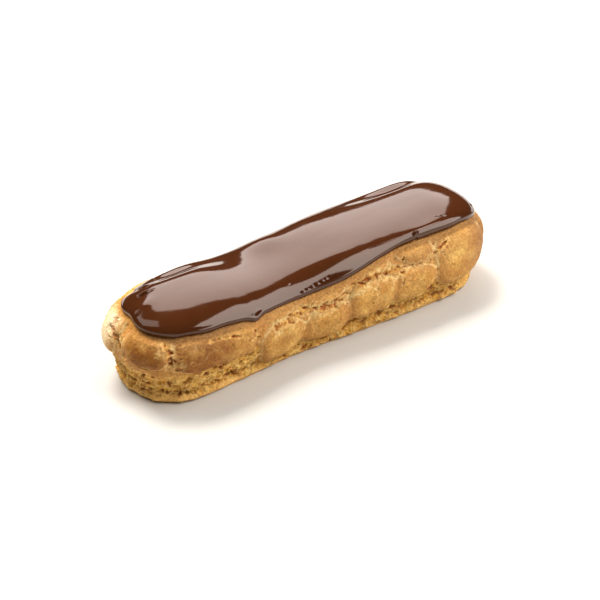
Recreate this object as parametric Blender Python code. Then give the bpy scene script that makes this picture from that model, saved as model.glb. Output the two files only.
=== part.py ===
"""Chocolate eclair: a baked choux bun with a coat of chocolate icing on its top.

X runs along the bun, from its lower end to its taller end, Y across it and Z up, in metres. It stands on z = 0.

Both pieces are laid out on one plan: a core line along X with an outline round it. A place on the plan is
given by its girth, the way travelled round the outline from the lower end, and by its share, which is 0 on the
core line and 1 on the outline. Each piece starts as a UV sphere. A column of its points gets one girth, a row
gets one step of the piece's section, and then the plan is drawn out to the bun's uneven width and height.
"""

import math

import bmesh
import bpy
import numpy as np
from mathutils import Vector, noise

# Size of the whole bun
LENGTH = 0.1290
HALF_WIDTH = 0.0200
CRUST_HEIGHT = 0.0268
ICING_CROWN = 0.0286
CORE_HALF = LENGTH / 2 - HALF_WIDTH
CAP_POWER = 2.25
CENTRE_X = 0.0003
CENTRE_Y = 0.00006

# Uneven width and height, as factors at these places along X
STATION_X = (-0.060, -0.036, -0.012, 0.012, 0.036, 0.060)
NEAR_WIDTH = (1.02, 1.00, 0.88, 0.98, 1.03, 0.97)
FAR_WIDTH = (0.94, 0.98, 0.98, 1.03, 1.00, 0.98)
TALLNESS = (0.90, 0.96, 0.87, 0.99, 0.99, 1.01)
STATION_SPREAD = 0.017

# Section of the bun
BASE_SHARE = 0.83
WIDEST_Z = 0.0150
DOME_POWER = 2.05
LIP_HEIGHT = 0.0024
LIP_BULGE = 0.0006
PLAN_JOIN = 0.66
PLAN_CLOSING = 1.5

# Relief of the crust: puffs that swelled in the oven, over a torn band
PUFF_SWELL = 0.0024
UPPER_PUFF_SWELL = 0.0016
PUFF_ROUNDNESS = 2.4
PUFF_SQUARENESS = 2.5
PUFF_BLEND = 5.5
BAND_DEPTH = 0.0012
CREVICE_DEPTH = 0.0005
BAND_TOP = 0.0140
BAND_EASING = 0.0050
WARP_SIZE = 0.0090
WARP_REACH = 0.0012
RIM_MARGIN = 0.0003
RELIEF_FADE = 0.0020
ROUGHNESS = 0.0006
ROUGH_SIZE = 0.0035

# Each puff: girth and height of its middle, half its length and height, share of the full swell
NEAR_PUFFS = (
    (-0.0175, 0.0212, 0.0080, 0.0062, 0.95),
    (-0.0085, 0.0172, 0.0085, 0.0072, 0.82),
    (0.0112, 0.0205, 0.0090, 0.0058, 0.95),
    (0.0305, 0.0186, 0.0100, 0.0066, 1.00),
    (0.0408, 0.0172, 0.0078, 0.0064, 1.00),
    (0.0576, 0.0101, 0.0084, 0.0081, 0.95),
    (0.0732, 0.0102, 0.0084, 0.0074, 0.95),
    (0.0896, 0.0129, 0.0090, 0.0069, 1.00),
    (0.1052, 0.0128, 0.0080, 0.0061, 1.00),
    (0.1262, 0.0155, 0.0132, 0.0096, 1.05),
    (0.1495, 0.0155, 0.0112, 0.0088, 1.20),
    (0.0565, 0.0219, 0.0074, 0.0035, 0.60),
    (0.0732, 0.0216, 0.0090, 0.0037, 0.60),
    (0.0905, 0.0230, 0.0084, 0.0033, 0.60),
    (0.1070, 0.0226, 0.0072, 0.0033, 0.60),
)
FAR_PUFF_START = 0.1670
FAR_PUFF_STEP = 0.0171
FAR_PUFF_COUNT = 7
FAR_PUFF_SEED = 7

# Coat of icing
GAP = 0.00034
CROWN_POWER = 2.5
CROWN_OVERSHOOT = 1.025
RIM_THICKNESS = 0.0020
FAR_RIM_THICKNESS = 0.0014
RIM_ROUND = 0.0009
RIM_PLACES = (
    (0.0140, 0.756),
    (0.0244, 0.778),
    (0.0364, 0.840),
    (0.0490, 0.880),
    (0.0630, 0.856),
    (0.0785, 0.868),
    (0.1069, 0.718),
    (0.1260, 0.742),
    (0.1465, 0.912),
    (0.1740, 0.838),
    (0.1980, 0.835),
    (0.2220, 0.806),
    (0.2580, 0.798),
    (0.2820, 0.664),
    (0.2910, 0.752),
)
DRIP_GIRTH = 0.0490
DRIP_HALF_WIDTH = 0.0022
DRIP_REACH = 0.04

# Valleys and swellings of the icing's top: plan point, half length, half width and height of each
CROWN_LUMPS = (
    (-0.0380, 0.0102, 0.0110, 0.0026, -0.0013),
    (-0.0240, 0.0100, 0.0060, 0.0055, -0.0010),
    (-0.0080, 0.0100, 0.0070, 0.0060, 0.0014),
    (0.0410, 0.0108, 0.0140, 0.0024, -0.0013),
    (0.0450, 0.0142, 0.0120, 0.0030, 0.0004),
)

# Fineness of the two meshes. Their columns and the rows under the icing are the same, so the gap stays even
OUTLINE_STEPS = 2880
SECTION_STEPS = 160
COLUMNS = 152
FLOOR_SHARES = (0.0, 0.45)
LIP_STEPS = (0.0, 0.0005, 0.0011, 0.0017, 0.0024)
SIDE_ROWS = 17
COVERED_PARTS = (1.0, 0.80, 0.60, 0.40, 0.20, 0.0)
RIM_ROWS = 4
CROWN_PARTS = (0.92, 0.81, 0.67, 0.51, 0.34, 0.17, 0.0)


def cap_reach(turn):
    """Distance from the end of the core line to the outline, at an angle from the lower end's direction."""
    sides = np.abs(np.cos(turn)) ** CAP_POWER + np.abs(np.sin(turn)) ** CAP_POWER
    return HALF_WIDTH * sides ** (-1 / CAP_POWER)


def trace_outline():
    """Points round the plan's outline with their turn and girth, from the lower end by the near side."""
    turn = np.linspace(0, 2 * math.pi, OUTLINE_STEPS + 1)
    core = np.where(np.cos(turn) > 0, -CORE_HALF, CORE_HALF)
    x = core - cap_reach(turn) * np.cos(turn)
    y = -cap_reach(turn) * np.sin(turn)
    girth = np.concatenate([[0], np.cumsum(np.hypot(np.diff(x), np.diff(y)))])
    return turn, x, y, girth


TURN, OUTLINE_X, OUTLINE_Y, GIRTH = trace_outline()
FULL_GIRTH = GIRTH[-1]
QUARTER_GIRTH = (FULL_GIRTH - 4 * CORE_HALF) / 4


def plan_point(girth, share):
    """Plan point at a girth and share. The core line shrinks to a point inwards, so that rows close there."""
    x = np.interp(girth, GIRTH, OUTLINE_X)
    y = np.interp(girth, GIRTH, OUTLINE_Y)
    core = np.clip(x, -CORE_HALF, CORE_HALF)
    shrink = 1 - np.clip(1 - share / PLAN_JOIN, 0, 1) ** PLAN_CLOSING
    return core * shrink + (x - core) * share, y * share


def plan_place(x, y):
    """Girth and share of a plan point."""
    core = np.clip(x, -CORE_HALF, CORE_HALF)
    turn = np.mod(np.arctan2(-y, core - x), 2 * math.pi)
    share = np.hypot(x - core, y) / cap_reach(turn)
    along_near = QUARTER_GIRTH + x + CORE_HALF
    along_far = FULL_GIRTH - QUARTER_GIRTH - x - CORE_HALF
    along_side = np.where(y < 0, along_near, along_far)
    girth = np.where(np.abs(x) < CORE_HALF, along_side, np.interp(turn, TURN, GIRTH))
    return girth, share


def along_stations(x, values):
    """Smooth mean of the values given at the stations along X."""
    weight = np.exp(-(((x[..., None] - np.array(STATION_X)) / STATION_SPREAD) ** 2))
    return (weight * np.array(values)).sum(-1) / weight.sum(-1)


def round_distance(girth, place):
    """Signed way round the outline from a place to a girth, the shorter way."""
    return np.mod(girth - place + FULL_GIRTH / 2, FULL_GIRTH) - FULL_GIRTH / 2


def smooth_step(value):
    value = np.clip(value, 0, 1)
    return value * value * (3 - 2 * value)


def draw_out(x, y, z):
    """Turns a place on the even plan into its place on the uneven bun, centred over the origin."""
    far_part = smooth_step(0.5 + 0.5 * y / HALF_WIDTH)
    near_width = along_stations(x, NEAR_WIDTH)
    far_width = along_stations(x, FAR_WIDTH)
    width = near_width + (far_width - near_width) * far_part
    return np.stack([x - CENTRE_X, y * width - CENTRE_Y, z * along_stations(x, TALLNESS)], -1)


def dome_height(share):
    """Height of the bun's upper surface over the plan, before relief."""
    fall = np.clip(1 - np.clip(share, 0, 1) ** DOME_POWER, 0, 1) ** (1 / DOME_POWER)
    return WIDEST_Z + (CRUST_HEIGHT - WIDEST_Z) * fall


def side_section():
    """Way, share and height of fine steps up the side, from the base's edge to halfway in over the dome."""
    rise = np.linspace(0, 1, SECTION_STEPS)
    low_share = BASE_SHARE + (1 - BASE_SHARE) * np.sin(rise * math.pi / 2)
    high_share = 1 - rise[1:] / 2
    share = np.concatenate([low_share, high_share])
    z = np.concatenate([rise * WIDEST_Z, dome_height(high_share)])
    way = np.concatenate([[0], np.cumsum(np.hypot(np.diff(share) * HALF_WIDTH, np.diff(z)))])
    return way, share, z


def far_puffs():
    """Puffs of the side that faces away, set out by a rule with seeded unevenness."""
    random = np.random.default_rng(FAR_PUFF_SEED)
    puffs = []
    for i in range(FAR_PUFF_COUNT):
        girth = FAR_PUFF_START + FAR_PUFF_STEP * (i + random.uniform(-0.15, 0.15))
        z = random.uniform(0.0115, 0.0145)
        puffs.append((girth, z, random.uniform(0.0100, 0.0125), random.uniform(0.0080, 0.0095), 1.0))
        upper_girth = girth + FAR_PUFF_STEP * random.uniform(0.3, 0.7)
        puffs.append((upper_girth, 0.0225, random.uniform(0.0085, 0.0110), 0.0055, 0.85))
    return tuple(puffs)


def uneven(girth, z, layer, size):
    """Smooth unevenness of a given grain over the side, the same after a full turn."""
    turn = girth / FULL_GIRTH * 2 * math.pi
    reach = FULL_GIRTH / (2 * math.pi)
    places = np.stack([np.cos(turn) * reach, np.sin(turn) * reach, z + layer * size], -1) / size
    return np.array([noise.noise(Vector(place)) for place in places])


def puff_field(girth, z):
    """1 at the middle of a puff, 0 at its edge, and less beyond the edges of all of them."""
    bent_girth = girth + WARP_REACH * uneven(girth, z, 1.0, WARP_SIZE)
    bent_z = z + WARP_REACH * uneven(girth, z, 5.0, WARP_SIZE)
    blended = np.zeros(girth.shape)
    for place, middle, half_length, half_height, swell in NEAR_PUFFS + far_puffs():
        across = np.abs(round_distance(bent_girth, place)) / half_length
        up = np.abs(bent_z - middle) / half_height
        height = 1 - across**PUFF_SQUARENESS - up**PUFF_SQUARENESS
        blended += np.exp(PUFF_BLEND * swell * height)
    return np.log(blended + math.exp(-PUFF_BLEND)) / PUFF_BLEND


def rim_share(girth):
    """Share at which the icing ends, eased from place to place, with one small drip on the near side."""
    places, shares = np.array(RIM_PLACES + ((RIM_PLACES[0][0] + FULL_GIRTH, RIM_PLACES[0][1]),)).T
    girth = places[0] + np.mod(girth - places[0], FULL_GIRTH)
    before = np.clip(np.searchsorted(places, girth, side="right") - 1, 0, len(places) - 2)
    part = smooth_step((girth - places[before]) / (places[before + 1] - places[before]))
    rim = shares[before] + (shares[before + 1] - shares[before]) * part
    return rim + DRIP_REACH * np.exp(-((round_distance(girth, DRIP_GIRTH) / DRIP_HALF_WIDTH) ** 2))


def foot_share(girth):
    """Share of the icing's foot, from where its rim rounds outward."""
    return rim_share(girth) - RIM_ROUND / HALF_WIDTH


def crust_relief(girth, share, z):
    """How far the crust stands out of its smooth section: puffs, a torn band below and the base's lip."""
    field = puff_field(girth, z)
    torn = smooth_step(0.5 - 3 * field)
    high = smooth_step((z - BAND_TOP + BAND_EASING) / BAND_EASING)
    swell = PUFF_SWELL + (UPPER_PUFF_SWELL - PUFF_SWELL) * high
    relief = swell * (1 - (1 - np.clip(field, 0, 1)) ** PUFF_ROUNDNESS + np.clip(field - 1, 0, None) / 2)
    depth = BAND_DEPTH + (CREVICE_DEPTH - BAND_DEPTH) * high
    relief -= depth * smooth_step((z - LIP_HEIGHT / 2) / LIP_HEIGHT)
    relief += ROUGHNESS * torn * uneven(girth, z, 9.0, ROUGH_SIZE)
    relief += LIP_BULGE * np.exp(-(((z - LIP_HEIGHT / 2) / (LIP_HEIGHT / 2)) ** 2))
    rim = rim_share(girth)
    below_rim = np.hypot((share - rim) * HALF_WIDTH, np.clip(dome_height(rim) - z, 0, None))
    below_rim = np.where(z < dome_height(rim), below_rim, 0)
    bare = smooth_step((below_rim - RIM_MARGIN) / RELIEF_FADE)
    return relief * bare * smooth_step(z / (LIP_HEIGHT / 2))


def sphere_mesh(name, columns, rows):
    """A UV sphere, with its points' columns as shares of a full turn and their rows from the lowest up."""
    sphere = bmesh.new()
    bmesh.ops.create_uvsphere(sphere, u_segments=columns, v_segments=rows, radius=1)
    mesh = bpy.data.meshes.new(name)
    sphere.to_mesh(mesh)
    sphere.free()
    points = np.array([vertex.co for vertex in mesh.vertices])
    turns = np.mod(np.arctan2(points[:, 1], points[:, 0]) / (2 * math.pi), 1)
    levels = np.rint((1 - np.arccos(np.clip(points[:, 2], -1, 1)) / math.pi) * rows).astype(int)
    return mesh, turns, levels


def finish_object(mesh, places, material, collection):
    """Puts the sphere's points in place and makes the object."""
    for vertex, place in zip(mesh.vertices, places):
        vertex.co = place
    mesh.materials.append(material)
    mesh.shade_smooth()
    piece = bpy.data.objects.new(mesh.name, mesh)
    collection.objects.link(piece)
    return piece


def outward(girth, z):
    """Outward direction of the bun's smooth side at a girth and height, on the even plan."""
    along_x = np.interp(girth, GIRTH, np.gradient(OUTLINE_X, GIRTH))
    along_y = np.interp(girth, GIRTH, np.gradient(OUTLINE_Y, GIRTH))
    lift = np.clip((z - WIDEST_Z) / (CRUST_HEIGHT - WIDEST_Z), 0, 1)
    flat = np.sqrt(1 - lift**2) / np.hypot(along_x, along_y)
    return np.stack([along_y * flat, -along_x * flat, lift], -1)


def bun_side(girth, row):
    """Share and height of a row up the side: the lip's rows, then even ones that end at the icing's foot."""
    way, share, z = side_section()
    foot_way = np.interp(-foot_share(girth), -share[SECTION_STEPS:], way[SECTION_STEPS:])
    lip_rows = len(LIP_STEPS) - 1
    even_part = np.clip((row - lip_rows) / SIDE_ROWS, 0, 1)
    even_way = LIP_STEPS[-1] + (foot_way - LIP_STEPS[-1]) * even_part
    here = np.where(row < lip_rows, np.interp(row, range(len(LIP_STEPS)), LIP_STEPS), even_way)
    return np.interp(here, way, share), np.interp(here, way, z)


def make_bun(material, collection):
    """The baked bun: flat base, puffed and torn sides, plain dome under the icing."""
    first_side = len(FLOOR_SHARES)
    last_side = first_side + len(LIP_STEPS) - 1 + SIDE_ROWS
    mesh, turns, levels = sphere_mesh("choux_bun", COLUMNS, last_side + len(COVERED_PARTS) - 1)
    girth = turns * FULL_GIRTH
    side_share, side_z = bun_side(girth, np.clip(levels - first_side, 0, last_side - first_side))
    floor_share = np.interp(levels, range(first_side), FLOOR_SHARES)
    covered_part = np.interp(levels - last_side, range(len(COVERED_PARTS)), COVERED_PARTS)
    share = np.where(levels > last_side, foot_share(girth) * covered_part, side_share)
    share = np.where(levels < first_side, floor_share, share)
    x, y = plan_point(girth, share)
    z = np.where(side_z > WIDEST_Z, dome_height(plan_place(x, y)[1]), side_z)
    z = np.where(levels < first_side, 0, z)
    stand_out = outward(girth, z) * crust_relief(girth, share, z)[:, None]
    places = draw_out(x + stand_out[:, 0], y + stand_out[:, 1], z + stand_out[:, 2])
    return finish_object(mesh, places, material, collection)


def crown_height(x, y):
    """Height of the icing's upper surface over a plan point, out to the rim's upper edge."""
    girth, share = plan_place(x, y)
    rim = rim_share(girth)
    far_part = smooth_step(0.5 + y / HALF_WIDTH)
    edge = dome_height(rim) + RIM_THICKNESS + (FAR_RIM_THICKNESS - RIM_THICKNESS) * far_part
    reach = np.clip(share / rim / CROWN_OVERSHOOT, 0, 1)
    fall = (1 - reach**CROWN_POWER) ** (1 / CROWN_POWER)
    fall_at_rim = (1 - CROWN_OVERSHOOT**-CROWN_POWER) ** (1 / CROWN_POWER)
    crown = edge + (ICING_CROWN - edge) * (fall - fall_at_rim) / (1 - fall_at_rim)
    for lump_x, lump_y, half_length, half_width, height in CROWN_LUMPS:
        distance = ((x - lump_x) / half_length) ** 2 + ((y - lump_y) / half_width) ** 2
        crown = crown + height * np.exp(-distance)
    return crown


def underside_height(x, y):
    """Height of the icing's underside over a plan point, an even gap away from the bun as it slopes."""
    bun = dome_height(plan_place(x, y)[1])
    return bun + GAP * (CRUST_HEIGHT - WIDEST_Z) / (bun - WIDEST_Z)


def make_icing(material, collection):
    """The coat of icing: a crowned top, a rounded rim, and an underside that follows the bun."""
    foot = len(COVERED_PARTS) - 1
    brow = foot + RIM_ROWS
    mesh, turns, levels = sphere_mesh("chocolate_icing", COLUMNS, brow + len(CROWN_PARTS))
    girth = turns * FULL_GIRTH
    under_part = np.interp(levels, range(foot + 1), COVERED_PARTS[::-1])
    over_part = np.interp(levels, range(brow, brow + len(CROWN_PARTS) + 1), (1,) + CROWN_PARTS)
    up_rim = np.clip((levels - foot) / RIM_ROWS, 0, 1)
    round_out = RIM_ROUND / HALF_WIDTH * np.sqrt(np.sin(up_rim * math.pi).clip(0))
    share = foot_share(girth) * np.where(levels < foot, under_part, over_part) + round_out
    x, y = plan_point(girth, share)
    foot_x, foot_y = plan_point(girth, foot_share(girth))
    rim_low = underside_height(foot_x, foot_y)
    rim_high = crown_height(foot_x, foot_y)
    z = np.where(levels > brow, crown_height(x, y), rim_low + (rim_high - rim_low) * up_rim)
    z = np.where(levels < foot, underside_height(x, y), z)
    return finish_object(mesh, draw_out(x, y, z), material, collection)


def plain_material(name, colour, roughness):
    """A Principled material of one colour."""
    material = bpy.data.materials.new(name)
    material.use_nodes = True
    surface = material.node_tree.nodes["Principled BSDF"]
    surface.inputs["Base Color"].default_value = (*colour, 1)
    surface.inputs["Roughness"].default_value = roughness
    surface.inputs["Metallic"].default_value = 0
    return material


def main():
    for old in list(bpy.data.objects):
        bpy.data.objects.remove(old)
    collection = bpy.data.collections.new("chocolate_eclair")
    bpy.context.scene.collection.children.link(collection)
    crust = plain_material("baked_crust", (0.56, 0.29, 0.085), 0.75)
    chocolate = plain_material("chocolate", (0.085, 0.028, 0.010), 0.15)
    make_bun(crust, collection)
    make_icing(chocolate, collection)


main()
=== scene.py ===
"""Chocolate eclair: fine crust, glossy icing, their finishes, the table, the lights and the camera.

Everything is in metres. X runs along the eclair from its lower end to its taller end, the near side faces
-Y, and Z is up. Crust and icing are laid out on one plan: a core line along X with an outline round it. A
place there is given by its girth, the way travelled round the outline from the lower end, and by its share,
which is 0 on the core line and 1 on the outline. Up the side of the bun, places are also given by their
height or by the way climbed along the section from the base's edge.
"""

import math

import bpy
import numpy as np
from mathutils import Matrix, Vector, noise


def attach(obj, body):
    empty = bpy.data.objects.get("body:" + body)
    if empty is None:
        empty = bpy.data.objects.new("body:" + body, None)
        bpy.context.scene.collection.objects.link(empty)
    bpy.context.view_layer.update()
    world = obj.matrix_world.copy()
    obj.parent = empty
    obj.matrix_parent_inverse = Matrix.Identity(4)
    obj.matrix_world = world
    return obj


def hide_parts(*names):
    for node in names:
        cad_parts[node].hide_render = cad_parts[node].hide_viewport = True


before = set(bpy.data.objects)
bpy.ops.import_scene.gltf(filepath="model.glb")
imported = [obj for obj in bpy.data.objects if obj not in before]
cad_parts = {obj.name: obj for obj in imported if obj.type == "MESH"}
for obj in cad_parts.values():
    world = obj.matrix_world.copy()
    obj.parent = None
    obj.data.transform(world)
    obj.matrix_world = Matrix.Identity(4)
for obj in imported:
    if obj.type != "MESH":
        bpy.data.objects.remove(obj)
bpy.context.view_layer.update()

# Size of the whole bun. From here down to the drip, the sizes and places are those of the solids
LENGTH = 0.1290
HALF_WIDTH = 0.0200
CRUST_HEIGHT = 0.0268
ICING_CROWN = 0.0286
CORE_HALF = LENGTH / 2 - HALF_WIDTH
CAP_POWER = 2.25
CENTRE_X = 0.0003
CENTRE_Y = 0.00006

# Uneven width and height, as factors at these places along X
STATION_X = (-0.060, -0.036, -0.012, 0.012, 0.036, 0.060)
NEAR_WIDTH = (1.02, 1.00, 0.88, 0.98, 1.03, 0.97)
FAR_WIDTH = (0.94, 0.98, 0.98, 1.03, 1.00, 0.98)
TALLNESS = (0.90, 0.96, 0.87, 0.99, 0.99, 1.01)
STATION_SPREAD = 0.017

# Section of the bun
BASE_SHARE = 0.83
WIDEST_Z = 0.0150
DOME_POWER = 2.05
LIP_HEIGHT = 0.0024
LIP_BULGE = 0.0006
PLAN_JOIN = 0.66
PLAN_CLOSING = 1.5
SECTION_STEPS = 160

# Form of the crust: puffs that swelled in the oven, over a torn band
PUFF_SWELL = 0.0024
UPPER_PUFF_SWELL = 0.0016
PUFF_ROUNDNESS = 2.4
PUFF_SQUARENESS = 2.5
PUFF_BLEND = 5.5
BAND_DEPTH = 0.0012
CREVICE_DEPTH = 0.0005
BAND_TOP = 0.0140
BAND_EASING = 0.0050
WARP_SIZE = 0.0090
WARP_REACH = 0.0012
RIM_MARGIN = 0.0003
RELIEF_FADE = 0.0020
ROUGHNESS = 0.0006
ROUGH_SIZE = 0.0035

# Puffs of the near side: girth and height of the middle, half length, half height and share of the full swell
NEAR_PUFFS = (
    (-0.0175, 0.0212, 0.0080, 0.0062, 0.95),
    (-0.0085, 0.0172, 0.0085, 0.0072, 0.82),
    (0.0112, 0.0205, 0.0090, 0.0058, 0.95),
    (0.0305, 0.0186, 0.0100, 0.0066, 1.00),
    (0.0408, 0.0172, 0.0078, 0.0064, 1.00),
    (0.0576, 0.0101, 0.0084, 0.0081, 0.95),
    (0.0732, 0.0102, 0.0084, 0.0074, 0.95),
    (0.0896, 0.0129, 0.0090, 0.0069, 1.00),
    (0.1052, 0.0128, 0.0080, 0.0061, 1.00),
    (0.1262, 0.0155, 0.0132, 0.0096, 1.05),
    (0.1495, 0.0155, 0.0112, 0.0088, 1.20),
    (0.0565, 0.0219, 0.0074, 0.0035, 0.60),
    (0.0732, 0.0216, 0.0090, 0.0037, 0.60),
    (0.0905, 0.0230, 0.0084, 0.0033, 0.60),
    (0.1070, 0.0226, 0.0072, 0.0033, 0.60),
)

# Puffs of the far side
FAR_PUFF_START = 0.1670
FAR_PUFF_STEP = 0.0171
FAR_PUFF_COUNT = 7
FAR_PUFF_SEED = 7

# Form of the icing
CROWN_POWER = 2.5
CROWN_OVERSHOOT = 1.025
RIM_THICKNESS = 0.0020
FAR_RIM_THICKNESS = 0.0014
RIM_ROUND = 0.0009

# Edge of the icing: girth and share of its high and low points
RIM_PLACES = (
    (0.0140, 0.756),
    (0.0244, 0.778),
    (0.0364, 0.840),
    (0.0490, 0.880),
    (0.0630, 0.856),
    (0.0785, 0.868),
    (0.1069, 0.718),
    (0.1260, 0.742),
    (0.1465, 0.912),
    (0.1740, 0.838),
    (0.1980, 0.835),
    (0.2220, 0.806),
    (0.2580, 0.798),
    (0.2820, 0.664),
    (0.2910, 0.752),
)

# Valleys and swellings of the icing's top: plan point, half length, half width and height of each
CROWN_LUMPS = (
    (-0.0380, 0.0102, 0.0110, 0.0026, -0.0013),
    (-0.0240, 0.0100, 0.0060, 0.0055, -0.0010),
    (-0.0080, 0.0100, 0.0070, 0.0060, 0.0014),
    (0.0410, 0.0108, 0.0140, 0.0024, -0.0013),
    (0.0450, 0.0142, 0.0120, 0.0030, 0.0004),
)

# Small drip of icing on the near side
DRIP_GIRTH = 0.0490
DRIP_HALF_WIDTH = 0.0022
DRIP_REACH = 0.04

# Notches in the icing's edge at the lower end: girth, half width and reach in shares
RIM_NOTCHES = (
    (-0.0190, 0.0026, 0.085),
    (-0.0020, 0.0065, 0.055),
)

# Section of the icing's rim, from its foot to its brow: how far it stands out, and share of its height
RIM_SECTION = (
    (0.0, 0.0),
    (0.00050, 0.05),
    (0.00080, 0.20),
    (0.00090, 0.42),
    (0.00091, 0.66),
    (0.00086, 0.88),
    (0.00060, 1.0),
)
ICING_SINK = 0.0002
SOFTENING_ROUNDS = 2

# Slight swellings that shape the icing's shine: plan point, half length, half width and height
SHINE_LUMPS = (
    (0.0015, -0.0128, 0.0100, 0.0042, 0.00070),
    (-0.0560, 0.0005, 0.0040, 0.0024, 0.00060),
    (0.0370, -0.0143, 0.0125, 0.0027, 0.00065),
)

# Bubbles, a thin raised line, a curl over the drip and small pits in the icing: girth, share, half length,
# half width and height of each
ICING_MARKS = (
    (0.1090, 0.700, 0.0008, 0.0007, 0.00080),
    (0.1239, 0.600, 0.0009, 0.0007, 0.00030),
    (0.1223, 0.570, 0.0004, 0.0004, 0.00020),
    (0.1425, 0.840, 0.0007, 0.0006, 0.00035),
    (0.2890, 0.556, 0.0009, 0.0008, 0.00055),
    (0.0025, 0.640, 0.0006, 0.0006, 0.00025),
    (0.2972, 0.545, 0.0010, 0.0010, 0.00085),
    (0.1080, 0.683, 0.0120, 0.0004, 0.00022),
    (0.0494, 0.858, 0.0016, 0.0007, 0.00018),
    (0.0660, 0.842, 0.0006, 0.0003, -0.00020),
    (0.0676, 0.834, 0.0004, 0.0003, -0.00025),
    (0.0693, 0.836, 0.0006, 0.0003, -0.00020),
    (0.0708, 0.828, 0.0004, 0.0004, -0.00025),
    (0.0727, 0.825, 0.0005, 0.0003, -0.00025),
    (0.0744, 0.818, 0.0004, 0.0003, -0.00020),
    (0.0757, 0.814, 0.0006, 0.0003, -0.00022),
    (0.0640, 0.690, 0.0003, 0.0003, -0.00025),
)
MARK_ROUNDNESS = 1.4

# Waves of the poured coat, which lie closer across it, with small ripples on them
WAVE_SIZE = 0.0130
WAVE_HEIGHT = 0.00007
WAVE_CROWDING = 1.5
RIPPLE_FINENESS = 4
RIPPLE_PART = 0.16

# Splits in the crust: half width, depth, pores to a millimetre, and girth and height of each bend
SPLITS = (
    (0.0009, 0.0010, 1.3, ((-0.0094, 0.0228), (-0.0050, 0.0208), (0.0007, 0.0178), (0.0038, 0.0150))),
    (0.0012, 0.0003, 2.6, ((0.0180, 0.0226), (0.0196, 0.0190), (0.0214, 0.0158))),
    (0.0004, 0.0006, 1.0, ((0.0480, 0.0122), (0.0484, 0.0163), (0.0474, 0.0192))),
    (0.0003, 0.0002, 1.0, ((0.0320, 0.0205), (0.0350, 0.0203), (0.0375, 0.0199), (0.0422, 0.0190))),
    (
        0.0012,
        0.0005,
        1.6,
        ((0.0555, 0.0168), (0.0600, 0.0177), (0.0665, 0.0178), (0.0727, 0.0168), (0.0795, 0.0175)),
    ),
    (
        0.0012,
        0.0006,
        1.6,
        ((0.0815, 0.0182), (0.0850, 0.0193), (0.0885, 0.0199), (0.0945, 0.0195), (0.1000, 0.0190)),
    ),
    (0.0003, 0.0004, 0.8, ((0.1026, 0.0218), (0.1010, 0.0190), (0.0998, 0.0150))),
    (0.0005, 0.0004, 1.2, ((0.1040, 0.0186), (0.1090, 0.0189), (0.1140, 0.0202), (0.1192, 0.0216))),
    (0.0003, 0.0004, 0.8, ((0.1118, 0.0180), (0.1131, 0.0163), (0.1138, 0.0121))),
    (0.0015, 0.0013, 0.8, ((-0.0150, 0.0175), (-0.0178, 0.0195), (-0.0207, 0.0207), (-0.0240, 0.0224))),
)
DEEPEST_SPLIT = 0.0013
FULLY_EDGED_SPLIT = 0.0006

# Creases down two of the puffs, given in the same way, with no pores
CREASES = (
    (0.0004, 0.00025, 0.0, ((0.0672, 0.0165), (0.0686, 0.0110), (0.0689, 0.0048))),
    (0.0004, 0.00020, 0.0, ((0.0815, 0.0170), (0.0822, 0.0110), (0.0835, 0.0070))),
)

# A small flake that stands up from the crust: girth, height, half width and half height
FLAKE = (0.0019, 0.0214, 0.0009, 0.0017)

# Rows of large openings in the torn band: way up the side, half height, openness and drift to either side
OPENING_ROWS = (
    (0.0050, 0.0013, 1.0, 0.0030),
    (0.0098, 0.0014, 0.8, -0.0030),
)

# Pores along the splits and over the torn band: size of the least one, how much larger the largest is, and
# how rare the large ones are
SPLIT_PORES = (0.00018, 0.00035, 2.5)
BAND_PORES = (0.00015, 0.00035, 3)
BAND_PORE_COUNT = 700
BAND_PORE_FLOOR = 0.0026

# How far the pores stray from the splits, as a share of a split's half width
PORE_STRAY = 0.6
PORE_ROUNDNESS = 0.6
PORE_SEED = 21

# Heights and depths of the fine relief
SEAM_DEPTH = 0.00030
STRAND_HEIGHT = 0.00050
LAYER_HEIGHT = 0.00060
CRUMB_HEIGHT = 0.00020
CREVICE_CRUMB_HEIGHT = 0.00018
SPLIT_CRUMB_HEIGHT = 0.00016
OPENING_DEPTH = 0.0011
PIT_DEPTH = 0.0006
SKIN_HEIGHT = 0.00009
SKIN_GRAIN_HEIGHT = 0.00005
VEIN_DEPTH = 0.00007
PUFF_EDGE_HEIGHT = 0.00010
FLAKE_HEIGHT = 0.0005
LIP_EDGE_BLUR = 0.0004
# Depth at which a pore gets the full painted shade of the hollows
FULL_SHADE_PORE_DEPTH = 0.0006

# Height of the lip's upper edge round the bun: girth and height
LIP_EDGE = (
    (0.0000, 0.0018),
    (0.0180, 0.0024),
    (0.0330, 0.0022),
    (0.0450, 0.0013),
    (0.0800, 0.0012),
    (0.1100, 0.0010),
    (0.1400, 0.0012),
    (0.2200, 0.0013),
    (0.3065, 0.0018),
)

# Toasted places: girth, height, half length, half height and share of the full browning
TOASTED = (
    (0.0112, 0.0170, 0.0125, 0.0120, 1.00),
    (0.0300, 0.0160, 0.0160, 0.0120, 1.00),
    (0.0440, 0.0150, 0.0060, 0.0080, 0.50),
    (0.0576, 0.0120, 0.0060, 0.0040, 0.35),
    (0.0730, 0.0100, 0.0070, 0.0040, 0.30),
    (0.0900, 0.0120, 0.0060, 0.0040, 0.35),
    (0.1050, 0.0120, 0.0060, 0.0040, 0.30),
    (0.1331, 0.0178, 0.0016, 0.0016, 0.90),
    (0.1240, 0.0120, 0.0080, 0.0050, 0.25),
)

# Places of a duller tan, partly a duller crust and partly painted shade on the strip under the icing's near
# edge and over the taller end: girth, height, half length, half height and share of the full tan
SHADED_DULL_PLACES = (
    (0.1430, 0.0170, 0.0240, 0.0150, 0.90),
    (0.0300, 0.0230, 0.0330, 0.0045, 0.75),
    (0.1150, 0.0215, 0.0200, 0.0050, 0.40),
)

# Pale place at the lower end, partly a paler crust and partly painted light falling from the back left:
# girth, height, half length and half height
LIT_PALE_END = (-0.0090, 0.0190, 0.0090, 0.0090)

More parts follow.
